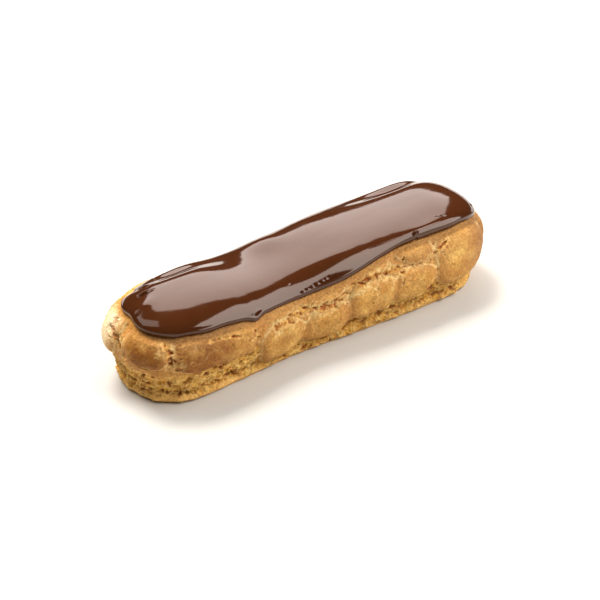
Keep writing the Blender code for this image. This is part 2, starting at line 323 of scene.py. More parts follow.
# Steepness of the edges of soft spots
SPOT_EDGE = 1.5
LIT_PALE_END_EDGE = 1.4
FLAKE_EDGE = 1.6

# Columns and rows of the two meshes, and where their unseen rows lie
COLUMNS = 900
LIP_ROWS = 9
SIDE_ROWS = 86
FLOOR_SHARE = 0.45
COVERED_PARTS = (0.8, 0.5, 0.2)
RIM_ROWS = 26
CROWN_ROWS = 82
CROWN_ROW_EASING = 1.15
UNDER_PART = 0.5


def cap_reach(turn):
    """Distance from the end of the core line to the outline, at an angle from the lower end's direction."""
    sides = np.abs(np.cos(turn)) ** CAP_POWER + np.abs(np.sin(turn)) ** CAP_POWER
    return HALF_WIDTH * sides ** (-1 / CAP_POWER)


def trace_outline(steps=2880):
    """Points round the plan's outline with their turn and girth, from the lower end by the near side."""
    turn = np.linspace(0, 2 * math.pi, steps + 1)
    core = np.where(np.cos(turn) > 0, -CORE_HALF, CORE_HALF)
    x = core - cap_reach(turn) * np.cos(turn)
    y = -cap_reach(turn) * np.sin(turn)
    girth = np.concatenate([[0], np.cumsum(np.hypot(np.diff(x), np.diff(y)))])
    return turn, x, y, girth


TURN, OUTLINE_X, OUTLINE_Y, GIRTH = trace_outline()
FULL_GIRTH = GIRTH[-1]
QUARTER_GIRTH = (FULL_GIRTH - 4 * CORE_HALF) / 4


def plan_point(girth, share):
    """Plan point at a girth and share. The core line shrinks to a point inwards, so that rows close there."""
    x = np.interp(girth, GIRTH, OUTLINE_X)
    y = np.interp(girth, GIRTH, OUTLINE_Y)
    core = np.clip(x, -CORE_HALF, CORE_HALF)
    shrink = 1 - np.clip(1 - share / PLAN_JOIN, 0, 1) ** PLAN_CLOSING
    return core * shrink + (x - core) * share, y * share


def plan_place(x, y):
    """Girth and share of a plan point."""
    core = np.clip(x, -CORE_HALF, CORE_HALF)
    turn = np.mod(np.arctan2(-y, core - x), 2 * math.pi)
    share = np.hypot(x - core, y) / cap_reach(turn)
    along_near = QUARTER_GIRTH + x + CORE_HALF
    along_far = FULL_GIRTH - QUARTER_GIRTH - x - CORE_HALF
    along_side = np.where(y < 0, along_near, along_far)
    girth = np.where(np.abs(x) < CORE_HALF, along_side, np.interp(turn, TURN, GIRTH))
    return girth, share


def along_stations(x, values):
    """Smooth mean of the values given at the stations along X."""
    weight = np.exp(-(((x[..., None] - np.array(STATION_X)) / STATION_SPREAD) ** 2))
    return (weight * np.array(values)).sum(-1) / weight.sum(-1)


def round_distance(girth, place):
    """Signed way round the outline from a place to a girth, the shorter way."""
    return np.mod(girth - place + FULL_GIRTH / 2, FULL_GIRTH) - FULL_GIRTH / 2


def smooth_step(value):
    """Eases from 0 to 1 as the value goes from 0 to 1."""
    value = np.clip(value, 0, 1)
    return value * value * (3 - 2 * value)


def draw_out(x, y, z):
    """Turns a place on the even plan into its place on the uneven bun, centred over the origin."""
    far_part = smooth_step(0.5 + 0.5 * y / HALF_WIDTH)
    near_width = along_stations(x, NEAR_WIDTH)
    far_width = along_stations(x, FAR_WIDTH)
    width = near_width + (far_width - near_width) * far_part
    return np.stack([x - CENTRE_X, y * width - CENTRE_Y, z * along_stations(x, TALLNESS)], -1)


def dome_height(share):
    """Height of the bun's upper surface over the plan, before relief."""
    fall = np.clip(1 - np.clip(share, 0, 1) ** DOME_POWER, 0, 1) ** (1 / DOME_POWER)
    return WIDEST_Z + (CRUST_HEIGHT - WIDEST_Z) * fall


def side_section():
    """Way, share and height of fine steps up the side, from the base's edge to halfway in over the dome."""
    rise = np.linspace(0, 1, SECTION_STEPS)
    low_share = BASE_SHARE + (1 - BASE_SHARE) * np.sin(rise * math.pi / 2)
    high_share = 1 - rise[1:] / 2
    share = np.concatenate([low_share, high_share])
    z = np.concatenate([rise * WIDEST_Z, dome_height(high_share)])
    way = np.concatenate([[0], np.cumsum(np.hypot(np.diff(share) * HALF_WIDTH, np.diff(z)))])
    return way, share, z


SIDE_WAY, SIDE_SHARE, SIDE_Z = side_section()


def far_puffs():
    """Puffs of the side that faces away, set out by a rule with seeded unevenness."""
    random = np.random.default_rng(FAR_PUFF_SEED)
    puffs = []
    for i in range(FAR_PUFF_COUNT):
        girth = FAR_PUFF_START + FAR_PUFF_STEP * (i + random.uniform(-0.15, 0.15))
        z = random.uniform(0.0115, 0.0145)
        puffs.append((girth, z, random.uniform(0.0100, 0.0125), random.uniform(0.0080, 0.0095), 1.0))
        upper_girth = girth + FAR_PUFF_STEP * random.uniform(0.3, 0.7)
        puffs.append((upper_girth, 0.0225, random.uniform(0.0085, 0.0110), 0.0055, 0.85))
    return tuple(puffs)


def uneven(girth, climb, layer, size, lean=0.0, stretch=1.0):
    """Smooth unevenness of a given grain over the side, the same after a full turn.

    Each layer has a pattern of its own, which can lean and be drawn out along the climb.
    """
    turn = (girth + lean * climb) / FULL_GIRTH * 2 * math.pi
    reach = FULL_GIRTH / (2 * math.pi)
    places = np.stack([np.cos(turn) * reach, np.sin(turn) * reach, climb / stretch + layer * size], -1) / size
    values = [noise.noise(Vector(place)) for place in places.reshape(-1, 3)]
    return np.array(values).reshape(places.shape[:-1])


def ridges(girth, climb, layer, size, lean=0.0, stretch=1.0):
    """Sharp crests of about the given spacing: 1 on a crest, less between."""
    return 1 - 2 * np.abs(uneven(girth, climb, layer, size, lean, stretch))


def puff_field(girth, z):
    """1 at the middle of a puff, 0 at its edge, and less beyond the edges of all of them."""
    bent_girth = girth + WARP_REACH * uneven(girth, z, 1.0, WARP_SIZE)
    bent_z = z + WARP_REACH * uneven(girth, z, 5.0, WARP_SIZE)
    blended = np.zeros(girth.shape)
    for place, middle, half_length, half_height, swell in NEAR_PUFFS + far_puffs():
        across = np.abs(round_distance(bent_girth, place)) / half_length
        up = np.abs(bent_z - middle) / half_height
        height = 1 - across**PUFF_SQUARENESS - up**PUFF_SQUARENESS
        blended += np.exp(PUFF_BLEND * swell * height)
    return np.log(blended + math.exp(-PUFF_BLEND)) / PUFF_BLEND


def rim_share(girth):
    """Share at which the icing ends, eased from place to place, with one small drip on the near side."""
    places, shares = np.array(RIM_PLACES + ((RIM_PLACES[0][0] + FULL_GIRTH, RIM_PLACES[0][1]),)).T
    girth = places[0] + np.mod(girth - places[0], FULL_GIRTH)
    before = np.clip(np.searchsorted(places, girth, side="right") - 1, 0, len(places) - 2)
    part = smooth_step((girth - places[before]) / (places[before + 1] - places[before]))
    rim = shares[before] + (shares[before + 1] - shares[before]) * part
    for place, half_width, reach in RIM_NOTCHES:
        rim = rim - reach * np.exp(-((round_distance(girth, place) / half_width) ** 2))
    return rim + DRIP_REACH * np.exp(-((round_distance(girth, DRIP_GIRTH) / DRIP_HALF_WIDTH) ** 2))


def foot_share(girth):
    """Share of the icing's foot, from where its rim rounds outward."""
    return rim_share(girth) - RIM_ROUND / HALF_WIDTH


def outward(girth, z):
    """Outward direction of the bun's smooth side at a girth and height, on the even plan."""
    along_x = np.interp(girth, GIRTH, np.gradient(OUTLINE_X, GIRTH))
    along_y = np.interp(girth, GIRTH, np.gradient(OUTLINE_Y, GIRTH))
    lift = np.clip((z - WIDEST_Z) / (CRUST_HEIGHT - WIDEST_Z), 0, 1)
    flat = np.sqrt(1 - lift**2) / np.hypot(along_x, along_y)
    return np.stack([along_y * flat, -along_x * flat, lift], -1)


def climb_to(z):
    """Way climbed up the section to a height on the side."""
    return np.interp(z, SIDE_Z, SIDE_WAY)


def line_distance(girth, way, bends):
    """Distance of each place on the side from a bent line, whose bends are given by girth and height."""
    nearest = np.full(girth.shape, np.inf)
    for (girth_a, z_a), (girth_b, z_b) in zip(bends[:-1], bends[1:]):
        start = np.array([girth_a, climb_to(z_a)])
        run = np.array([girth_b, climb_to(z_b)]) - start
        off_girth = round_distance(girth, start[0])
        off_way = way - start[1]
        part = np.clip((off_girth * run[0] + off_way * run[1]) / (run @ run), 0, 1)
        nearest = np.minimum(nearest, np.hypot(off_girth - part * run[0], off_way - part * run[1]))
    return nearest


def pore_size(random, sizes):
    """Size of one pore by the least size, the spread above it and the rarity of large ones."""
    least, spread, rarity = sizes
    return least + spread * random.uniform() ** rarity


def split_pores(random):
    """Small pores strewn along the splits: girth, way, half width, half height and depth of each."""
    pores = []
    for half_width, _, per_millimetre, bends in SPLITS:
        for (girth_a, z_a), (girth_b, z_b) in zip(bends[:-1], bends[1:]):
            way_a, way_b = climb_to(z_a), climb_to(z_b)
            length = math.hypot(girth_b - girth_a, way_b - way_a)
            for _ in range(round(length * 1000 * per_millimetre)):
                part = random.uniform()
                girth = girth_a + (girth_b - girth_a) * part + random.normal(0, half_width * PORE_STRAY)
                way = way_a + (way_b - way_a) * part + random.normal(0, half_width * PORE_STRAY)
                size = pore_size(random, SPLIT_PORES)
                pores.append((girth, way, size * random.uniform(0.6, 1.5), size, size * 0.9))
    return pores


def band_pores(random):
    """Small pores strewn over the torn band."""
    pores = []
    for _ in range(BAND_PORE_COUNT):
        girth = random.uniform(0, FULL_GIRTH)
        size = pore_size(random, BAND_PORES)
        way = random.uniform(BAND_PORE_FLOOR, BAND_TOP)
        pores.append((girth, way, size, size * random.uniform(0.7, 1.8), size))
    return pores


def dig(girth, way, hollows):
    """Depth of the deepest of the hollows at each place of a grid of rows and columns."""
    depth = np.zeros(girth.shape)
    for place, height, half_width, half_height, deep in hollows:
        rows = np.abs(way - height).min(1) < half_height
        columns = np.abs(round_distance(girth[0], place)) < half_width
        if not rows.any() or not columns.any():
            continue
        window = np.ix_(rows, columns)
        across = round_distance(girth[window], place) / half_width
        up = (way[window] - height) / half_height
        bowl = deep * np.clip(1 - across**2 - up**2, 0, 1) ** PORE_ROUNDNESS
        depth[window] = np.maximum(depth[window], bowl)
    return depth


def soft_spot(girth, up, spot, edge):
    """1 in the middle of a soft-edged spot, 0 outside it. The spot gives its place and its half sizes."""
    spot_girth, spot_up, half_length, half_height = spot
    away = np.hypot(round_distance(girth, spot_girth) / half_length, (up - spot_up) / half_height)
    return smooth_step(edge * (1 - away))


def spots(girth, z, places):
    """How strongly each place of the side belongs to the given soft-edged spots."""
    strength = np.zeros(girth.shape)
    for *spot, share_of_full in places:
        strength = np.maximum(strength, share_of_full * soft_spot(girth, z, spot, SPOT_EDGE))
    return strength


def swollen_form(girth, z, field, torn, high):
    """The relief that the solid has too: swollen puffs, a sunken band between them, and the lip."""
    swell = PUFF_SWELL + (UPPER_PUFF_SWELL - PUFF_SWELL) * high
    relief = swell * (1 - (1 - np.clip(field, 0, 1)) ** PUFF_ROUNDNESS + np.clip(field - 1, 0, None) / 2)
    depth = BAND_DEPTH + (CREVICE_DEPTH - BAND_DEPTH) * high
    relief -= depth * smooth_step((z - LIP_HEIGHT / 2) / LIP_HEIGHT)
    relief += ROUGHNESS * torn * uneven(girth, z, layer=9, size=ROUGH_SIZE)
    return relief + LIP_BULGE * np.exp(-(((z - LIP_HEIGHT / 2) / (LIP_HEIGHT / 2)) ** 2))


def above_lip(girth, z):
    """0 on the lip and 1 above its uneven upper edge."""
    waves = 0.9 * uneven(girth, 0 * z, layer=3, size=0.005)
    waves += 0.6 * uneven(girth, 0 * z, layer=3.5, size=0.0014)
    top = np.interp(girth, *zip(*LIP_EDGE)) * (1 + waves)
    return smooth_step((z - top) / LIP_EDGE_BLUR)


def torn_openings(girth, way):
    """Ragged openings of the torn band, 0 to 1: large ones in rows, small ones between the strands."""
    to_and_fro = uneven(girth, 0 * way, layer=19, size=0.0150)
    rows = np.zeros(way.shape)
    for middle, half_height, openness, drift in OPENING_ROWS:
        rows += openness * np.exp(-(((way - middle - drift * to_and_fro) / half_height) ** 2))
    wide = uneven(girth, way, layer=12, size=0.0026, stretch=0.8)
    narrow = uneven(girth, way, layer=13, size=0.0012, lean=-0.35, stretch=1.8)
    return smooth_step((wide + 0.7 * narrow + 0.32 * rows - 0.38) / 0.22)


def torn_fabric(girth, way):
    """Strands and layers of the torn band, 1 on their crests, and crumbs that stand out and sink in."""
    strands = np.clip(ridges(girth, way, layer=2, size=0.0021, lean=-0.35, stretch=3.2), 0, 1) ** 2
    layers = np.clip(ridges(girth, way, layer=4, size=0.0034, lean=0.15, stretch=0.42), 0, 1) ** 3
    crumbs = uneven(girth, way, layer=6, size=0.0009) + 0.6 * uneven(girth, way, layer=6.5, size=0.00045)
    return strands, layers, crumbs


def puff_seams(girth, way, field):
    """Broken seams along the foot of the puffs, 1 at their deepest."""
    breaks = np.clip(0.7 + 1.5 * uneven(girth, way, layer=18, size=0.006), 0, 1)
    return np.exp(-(((field + 0.03) / 0.06) ** 2)) * breaks


def smooth_skin(girth, way):
    """Relief of the crust's skin, and its fine sunken veins, 1 in their middle."""
    skin = SKIN_HEIGHT * uneven(girth, way, layer=7, size=0.0024)
    grain = SKIN_GRAIN_HEIGHT * uneven(girth, way, layer=8, size=0.0009)
    veins = np.clip(ridges(girth, way, layer=14, size=0.0062), 0, 1) ** 26
    veins = veins * smooth_step(2.5 * uneven(girth, way, layer=15, size=0.008))
    return skin + grain - VEIN_DEPTH * veins, veins


def split_open(girth, way, crumbs):
    """Depth of the splits and creases, how rough and edged they leave each place, and how much painted shade
    lies in their bottoms.
    """
    wobble = 0.9 * uneven(girth, way, layer=11, size=0.0018)
    wobble += 0.5 * uneven(girth, way, layer=11.5, size=0.0007)
    depth, rough, edge, split_shade = np.zeros((4, *girth.shape))
    for half_width, deep, per_millimetre, bends in SPLITS + CREASES:
        distance = line_distance(girth, way, bends) * (1 + wobble) / half_width
        if per_millimetre:
            rough = np.maximum(rough, np.exp(-((distance / 1.2) ** 4)))
        depth += deep * np.exp(-(distance**2)) * (0.75 + crumbs)
        split_shade = np.maximum(split_shade, (deep / DEEPEST_SPLIT) ** 2 * np.exp(-((1.8 * distance) ** 2)))
        beside = np.exp(-(((distance - 1.3) / 0.5) ** 2))
        edge = np.maximum(edge, min(deep / FULLY_EDGED_SPLIT, 1) * beside)
    return depth, rough, edge, split_shade


def ragged_pits(girth, way, rough):
    """Ragged pits, 0 to 1, nearly all of them where the splits leave the crust rough."""
    pits = uneven(girth, way, layer=16, size=0.0012) + 0.5 * uneven(girth, way, layer=17, size=0.0006)
    return smooth_step((pits + 0.62 * rough - 0.72) / 0.2)


def bare_part(girth, share, z):
    """0 under the icing and along its edge, and 1 where the crust is bare and has its full relief."""
    rim = rim_share(girth)
    below_rim = np.hypot((share - rim) * HALF_WIDTH, np.clip(dome_height(rim) - z, 0, None))
    below_rim = np.where(z < dome_height(rim), below_rim, 0)
    return smooth_step((below_rim - RIM_MARGIN) / RELIEF_FADE)


def crust_relief(girth, share, z, way):
    """How far the crust stands out of its smooth section, and the masks that its finish is painted by."""
    field = puff_field(girth, z)
    torn = smooth_step(0.5 - 3 * field)
    high = smooth_step((z - BAND_TOP + BAND_EASING) / BAND_EASING)
    off_lip = above_lip(girth, z)
    band = torn * (1 - high) * off_lip
    strands, layers, crumbs = torn_fabric(girth, way)
    openings = torn_openings(girth, way) * band
    seam = puff_seams(girth, way, field)
    skin, veins = smooth_skin(girth, way)
    splits, rough, edge, split_shade = split_open(girth, way, crumbs)
    pits = ragged_pits(girth, way, rough)
    random = np.random.default_rng(PORE_SEED)
    pores = dig(girth, way, split_pores(random))
    pores = pores + dig(girth, way, band_pores(random)) * band
    puff_edge = np.exp(-(((field - 0.06) / 0.08) ** 2)) * smooth_step(z / 0.004)
    flake_girth, flake_z, *flake_size = FLAKE
    flake = soft_spot(girth, way, (flake_girth, climb_to(flake_z), *flake_size), FLAKE_EDGE)
    bare = bare_part(girth, share, z)

    relief = swollen_form(girth, z, field, torn, high) - SEAM_DEPTH * seam + (1 - band) * skin
    relief += band * (STRAND_HEIGHT * (strands - 0.5) + LAYER_HEIGHT * (layers - 0.4) + CRUMB_HEIGHT * crumbs)
    relief += (CREVICE_CRUMB_HEIGHT * torn * high + SPLIT_CRUMB_HEIGHT * rough) * crumbs
    relief -= OPENING_DEPTH * openings + PIT_DEPTH * pits + splits + pores
    relief += PUFF_EDGE_HEIGHT * puff_edge + FLAKE_HEIGHT * flake
    relief = relief * bare * smooth_step(z / (LIP_HEIGHT / 2))

    # Painted shade in the hollows: pores, torn openings, pits, seams at the puffs' feet and the bottoms of
    # the deeper splits are darkened where shade falls in them
    shade_in_hollows = pores / FULL_SHADE_PORE_DEPTH + 0.85 * openings + 0.8 * pits + 0.25 * seam + split_shade
    light_edges = np.maximum(np.maximum(0.8 * edge, puff_edge), 0.35 * veins) * (1 - band)
    crests = band * np.clip(0.7 * layers + 0.5 * strands, 0, 1) + 0.45 * rough * np.clip(0.5 + crumbs, 0, 1)
    on_puffs = smooth_step((field - 0.04) / 0.14) * (1 - 0.35 * rough)
    masks = {
        "torn": np.clip(np.maximum(band, 0.4 * rough * bare), 0, 1),
        "hollow_shade": np.clip(shade_in_hollows, 0, 1) * bare,
        "pale": np.clip(light_edges, 0, 1) * bare,
        "crests": np.clip(crests, 0, 1) * bare,
        "belly": smooth_step((field - 0.25) / 0.6) * bare,
        "toasted": spots(girth, z, TOASTED) * on_puffs * bare,
        # Painted shade under the icing's near edge and over the taller end, partly a duller crust
        "dull_shade": spots(girth, z, SHADED_DULL_PLACES) * (1 - band),
        # Painted light at the lower end, partly a paler crust
        "lit_pale_end": soft_spot(girth, z, LIT_PALE_END, LIT_PALE_END_EDGE) * (1 - band) * bare,
        "lip": (1 - off_lip) * smooth_step((0.004 - z) / 0.001),
        "flake": flake * bare,
    }
    return relief, masks


def grid_mesh(name, rows_of_points, bottom, top):
    """A closed mesh from rows of points round the eclair, with one point closing each end."""
    rows, columns = rows_of_points.shape[:2]
    points = np.concatenate([rows_of_points.reshape(-1, 3), [bottom, top]])
    column = np.arange(columns)
    following = (column + 1) % columns
    quads = []
    for row in range(rows - 1):
        low, high = row * columns, (row + 1) * columns
        quads.append(np.stack([low + column, low + following, high + following, high + column], -1))
    faces = np.concatenate(quads).tolist()
    low_end, high_end = rows * columns, rows * columns + 1
    last = (rows - 1) * columns
    faces += np.stack([np.full(columns, low_end), following, column], -1).tolist()
    faces += np.stack([np.full(columns, high_end), last + column, last + following], -1).tolist()
    mesh = bpy.data.meshes.new(name)
    mesh.from_pydata(points.tolist(), [], faces)
    mesh.shade_smooth()
    return mesh


def store_mask(mesh, name, values):
    """Keeps one value a point on the mesh, with none at its two closing points."""
    layer = mesh.attributes.new(name, "FLOAT", "POINT")
    layer.data.foreach_set("value", np.concatenate([values.ravel(), [0, 0]]).astype(np.float32))


def make_crust():
    """The whole crust with its splits, pores, torn band and lip."""
    girth = np.arange(COLUMNS) / COLUMNS * FULL_GIRTH
    foot_way = np.interp(-foot_share(girth), -SIDE_SHARE[SECTION_STEPS:], SIDE_WAY[SECTION_STEPS:])
    low = np.linspace(0, LIP_HEIGHT, LIP_ROWS)[:, None] + 0 * girth
    part = np.linspace(0, 1, SIDE_ROWS + 1)[1:, None]
    way = np.concatenate([low, LIP_HEIGHT + (foot_way - LIP_HEIGHT) * part])
    girth = np.broadcast_to(girth, way.shape)
    share = np.interp(way, SIDE_WAY, SIDE_SHARE)
    z = np.interp(way, SIDE_WAY, SIDE_Z)
    x, y = plan_point(girth, share)
    z = np.where(z > WIDEST_Z, dome_height(plan_place(x, y)[1]), z)
    relief, masks = crust_relief(girth, share, z, way)
    stand_out = outward(girth, z) * relief[..., None]
    side = draw_out(x + stand_out[..., 0], y + stand_out[..., 1], z + stand_out[..., 2])
    floor_x, floor_y = plan_point(girth[:1], np.full((1, COLUMNS), FLOOR_SHARE))
    floor = draw_out(floor_x, floor_y, 0 * floor_x)
    covered_share = foot_share(girth[:1]) * np.array(COVERED_PARTS)[:, None]
    cover_x, cover_y = plan_point(np.broadcast_to(girth[:1], covered_share.shape), covered_share)
    cover = draw_out(cover_x, cover_y, dome_height(plan_place(cover_x, cover_y)[1]))
    bottom = draw_out(np.zeros(1), np.zeros(1), np.zeros(1))[0]
    top = draw_out(np.zeros(1), np.zeros(1), np.full(1, CRUST_HEIGHT))[0]
    mesh = grid_mesh("fine_crust", np.concatenate([floor, side, cover]), bottom, top)
    for name, values in masks.items():
        rows = np.concatenate([np.zeros((1, COLUMNS)), values, np.zeros((len(COVERED_PARTS), COLUMNS))])
        store_mask(mesh, name, rows)
    return place_piece("fine_crust", mesh)


def place_piece(name, mesh):
    """Puts a mesh, a light or the camera into the scene."""
    piece = bpy.data.objects.new(name, mesh)
    bpy.context.scene.collection.objects.link(piece)
    return piece


def crown_height(x, y):
    """Height of the icing's upper surface over a plan point, out to the rim's upper edge."""
    girth, share = plan_place(x, y)
    rim = rim_share(girth)
    far_part = smooth_step(0.5 + y / HALF_WIDTH)
    edge = dome_height(rim) + RIM_THICKNESS + (FAR_RIM_THICKNESS - RIM_THICKNESS) * far_part
    reach = np.clip(share / rim / CROWN_OVERSHOOT, 0, 1)
    fall = (1 - reach**CROWN_POWER) ** (1 / CROWN_POWER)
    fall_at_rim = (1 - CROWN_OVERSHOOT**-CROWN_POWER) ** (1 / CROWN_POWER)
    crown = edge + (ICING_CROWN - edge) * (fall - fall_at_rim) / (1 - fall_at_rim)
    for lump_x, lump_y, half_length, half_width, height in CROWN_LUMPS + SHINE_LUMPS:
        distance = ((x - lump_x) / half_length) ** 2 + ((y - lump_y) / half_width) ** 2
        crown = crown + height * np.exp(-distance)
    return crown


def icing_marks(girth, share):
    """Height of the small marks on the icing, below zero in the pits."""
    marks = np.zeros(share.shape)
    for place, mark_share, half_length, half_width, height in ICING_MARKS:
        along = round_distance(girth, place) * share / half_length
        across = (share - mark_share) * HALF_WIDTH / half_width
        marks += height * np.clip(1 - along**2 - across**2, 0, 1) ** MARK_ROUNDNESS
    return marks


def icing_waves(x, y):
    """Gentle waves of a coat that was poured."""
    places = np.stack([x, y * WAVE_CROWDING, 0 * x], -1) / WAVE_SIZE
    values = []
    for place in places.reshape(-1, 3):
        ripple = noise.noise(Vector(place * RIPPLE_FINENESS))
        values.append(noise.noise(Vector(place)) + RIPPLE_PART * ripple)
    return WAVE_HEIGHT * np.array(values).reshape(x.shape)


def soften_rows(points, rounds):
    """Rounds off sharp bends between rows, leaving the first and the last row where they are."""
    for _ in range(rounds):
        points[1:-1] = (points[:-2] + 2 * points[1:-1] + points[2:]) / 4
    return points


def make_icing():
    """The coat of icing with a rounded rim."""
    girth = np.arange(COLUMNS) / COLUMNS * FULL_GIRTH
    bend = np.linspace(0, 1, len(RIM_SECTION))
    up_rim = np.linspace(0, 1, RIM_ROWS)
    section_out, section_up = (np.interp(up_rim, bend, values) for values in zip(*RIM_SECTION))
    over = 1 - np.linspace(0, 1, CROWN_ROWS + 1)[1:-1] ** CROWN_ROW_EASING
    girth = np.broadcast_to(girth, (RIM_ROWS + len(over), COLUMNS))
    foot = foot_share(girth[:1])
    brow = foot + section_out[-1] / HALF_WIDTH
    share = np.concatenate([foot + section_out[:, None] / HALF_WIDTH, brow * over[:, None]])
    x, y = plan_point(girth, share)
    foot_x, foot_y = plan_point(girth[:1], foot)
    low = dome_height(plan_place(foot_x, foot_y)[1]) - ICING_SINK
    z = crown_height(x, y) + icing_waves(x, y)
    z[:RIM_ROWS] = low + (z[RIM_ROWS - 1] - low) * section_up[:, None]
    points = soften_rows(draw_out(x, y, z), SOFTENING_ROUNDS)
    points[..., 2] += icing_marks(girth, share)
    under_x, under_y = plan_point(girth[:1], foot * UNDER_PART)
    under = draw_out(under_x, under_y, dome_height(plan_place(under_x, under_y)[1]) - ICING_SINK)
    bottom = draw_out(np.zeros(1), np.zeros(1), np.full(1, CRUST_HEIGHT - ICING_SINK))[0]
    top = draw_out(np.zeros(1), np.zeros(1), np.full(1, ICING_CROWN))[0]
    mesh = grid_mesh("fine_icing", np.concatenate([under, points]), bottom, top)
    return place_piece("fine_icing", mesh)


def seen_colour(red, green, blue):
    """Linear colour of a shade given as it is seen, from 0 to 255."""
    shades = np.array([red, green, blue]) / 255
    return (*np.where(shades > 0.04045, ((shades + 0.055) / 1.055) ** 2.4, shades / 12.92), 1)


# Shades of the crust, among them painted shade and painted light
GOLD = seen_colour(207, 154, 74)
LIGHT_GOLD = seen_colour(236, 191, 107)
# Duller gold off the puffs' bellies, partly painted shade in the crevices between puffs
DULL_SHADE_GOLD = seen_colour(184, 126, 62)
BAKED_BROWN = seen_colour(188, 126, 54)
TOASTED_BROWN = seen_colour(140, 86, 24)
# Painted shade under the icing's near edge and over the taller end, partly a duller crust
DULL_SHADE_TAN = seen_colour(158, 111, 60)
DEEP_CRUMB = seen_colour(208, 140, 52)
LIGHT_CRUMB = seen_colour(246, 192, 86)
CRUMB_CREST = seen_colour(250, 211, 128)
PALE_EDGE = seen_colour(234, 202, 138)
# Pale tip of the lower end, partly painted light
LIT_PALE_TIP = seen_colour(242, 222, 184)
LIP_GOLD = seen_colour(246, 196, 112)
FLAKE_TAN = seen_colour(206, 142, 78)
# Painted shade in the pores, openings, pits, seams and splits
HOLLOW_SHADE_BROWN = seen_colour(170, 90, 30)
# Painted shade in the pinholes
PINHOLE_SHADE_BROWN = seen_colour(150, 90, 36)

# Fine speckle of the crust, as factors on its colour, and how sharp the edges of its pinholes are
DARK_SPECK = (0.72, 0.66, 0.55, 1)
LIGHT_SPECK = (1.17, 1.15, 1.13, 1)
PINHOLE_SHARPNESS = 8

# Shades of the icing, and the warm tint of its shine
DARK_CHOCOLATE = seen_colour(59, 27, 9)
LIGHT_CHOCOLATE = seen_colour(67, 33, 13)
CHOCOLATE_SHINE = (1, 0.84, 0.74, 1)

# Linear shades of the table and of its glow far out
TABLE_WHITE = (0.61, 0.585, 0.54, 1)
LIGHT_TABLE_WHITE = (0.63, 0.605, 0.56, 1)
NO_GLOW = (0, 0, 0, 1)
FAR_GLOW = (1, 0.99, 0.97, 1)


def new_node(tree, kind, settings=None, **inputs):
    """A node with its settings and its plain input values."""
    node = tree.nodes.new(kind)
    for name, value in (settings or {}).items():
        setattr(node, name, value)
    for name, value in inputs.items():
        node.inputs[name.replace("_", " ")].default_value = value
    return node


def fill_sockets(tree, pairs):
    """Links each socket to another node's output, or gives it a plain value."""
    for socket, value in pairs:
        if isinstance(value, bpy.types.NodeSocket):
            tree.links.new(value, socket)
        elif value is not None:
            socket.default_value = value


def calculate(tree, operation, first, second, third=None, clamp=False):
    """Output of one sum on numbers or other nodes' outputs."""
    node = new_node(tree, "ShaderNodeMath", {"operation": operation, "use_clamp": clamp})
    fill_sockets(tree, zip(node.inputs, (first, second, third)))
    return node.outputs[0]


def blend_colours(tree, amount, first, second, kind="MIX"):
    """Colour output that goes from the first to the second as the amount goes from 0 to 1."""
    node = new_node(tree, "ShaderNodeMix", {"data_type": "RGBA", "blend_type": kind})
    fill_sockets(tree, ((node.inputs[0], amount), (node.inputs[6], first), (node.inputs[7], second)))
    return node.outputs[2]


def new_group(name, inputs, output):
    """A node group with number inputs and one number output: the group, its given values and its result."""
    group = bpy.data.node_groups.new(name, "ShaderNodeTree")
    for input_name, value in inputs.items():
        socket = group.interface.new_socket(input_name, in_out="INPUT", socket_type="NodeSocketFloat")
        socket.default_value = value
    group.interface.new_socket(output, in_out="OUTPUT", socket_type="NodeSocketFloat")
    given = group.nodes.new("NodeGroupInput")
    result = group.nodes.new("NodeGroupOutput")
    return group, given.outputs, result.inputs


def pattern(group, kind, size, **inputs):
    """A pattern over the piece's own space, with features of a given size."""
    node = new_node(group, kind, **inputs)
    place = group.nodes.new("ShaderNodeTexCoord")
    group.links.new(place.outputs["Object"], node.inputs["Vector"])
    group.links.new(calculate(group, "DIVIDE", 1, size), node.inputs["Scale"])
    return node


def mottle_group():
    """Uneven patches: a value from 0 to 1 that varies over the surface, of a given size and contrast."""
    group, given, result = new_group("mottle", {"Size": 0.004, "Contrast": 1.0, "Middle": 0.5}, "Patches")
    clouds = pattern(group, "ShaderNodeTexNoise", given["Size"], Detail=4.0, Roughness=0.6)
    centred = calculate(group, "SUBTRACT", clouds.outputs["Fac"], 0.5)
    scaled = calculate(group, "MULTIPLY_ADD", centred, given["Contrast"], given["Middle"], clamp=True)
    group.links.new(scaled, result["Patches"])
    return group


def pinholes_group():
    """Small round pits strewn over the surface: 1 in a pit, 0 beside it."""
    group, given, result = new_group("pinholes", {"Size": 0.0014, "Width": 0.25}, "Holes")
    cells = pattern(group, "ShaderNodeTexVoronoi", given["Size"])
    inside = calculate(group, "SUBTRACT", given["Width"], cells.outputs["Distance"])
    holes = calculate(group, "MULTIPLY", inside, PINHOLE_SHARPNESS, clamp=True)
    group.links.new(holes, result["Holes"])
    return group


def patches(tree, mottle, size, contrast, middle=0.5):
    """Value of the mottle group, placed with its own size, contrast and middle."""
    values = {"Size": size, "Contrast": contrast, "Middle": middle}
    return new_node(tree, "ShaderNodeGroup", {"node_tree": mottle}, **values).outputs["Patches"]


def pinholes_output(tree, pinholes, size, width):
    """Value of the pinholes group, placed with its own size and width."""
    node = new_node(tree, "ShaderNodeGroup", {"node_tree": pinholes}, Size=size, Width=width)
    return node.outputs["Holes"]


def mask_output(tree, name, strength=1.0):
    """Value of a mask kept on the mesh, times a strength."""
    mask = new_node(tree, "ShaderNodeAttribute", {"attribute_name": name}).outputs["Fac"]
    return mask if strength == 1.0 else calculate(tree, "MULTIPLY", mask, strength)


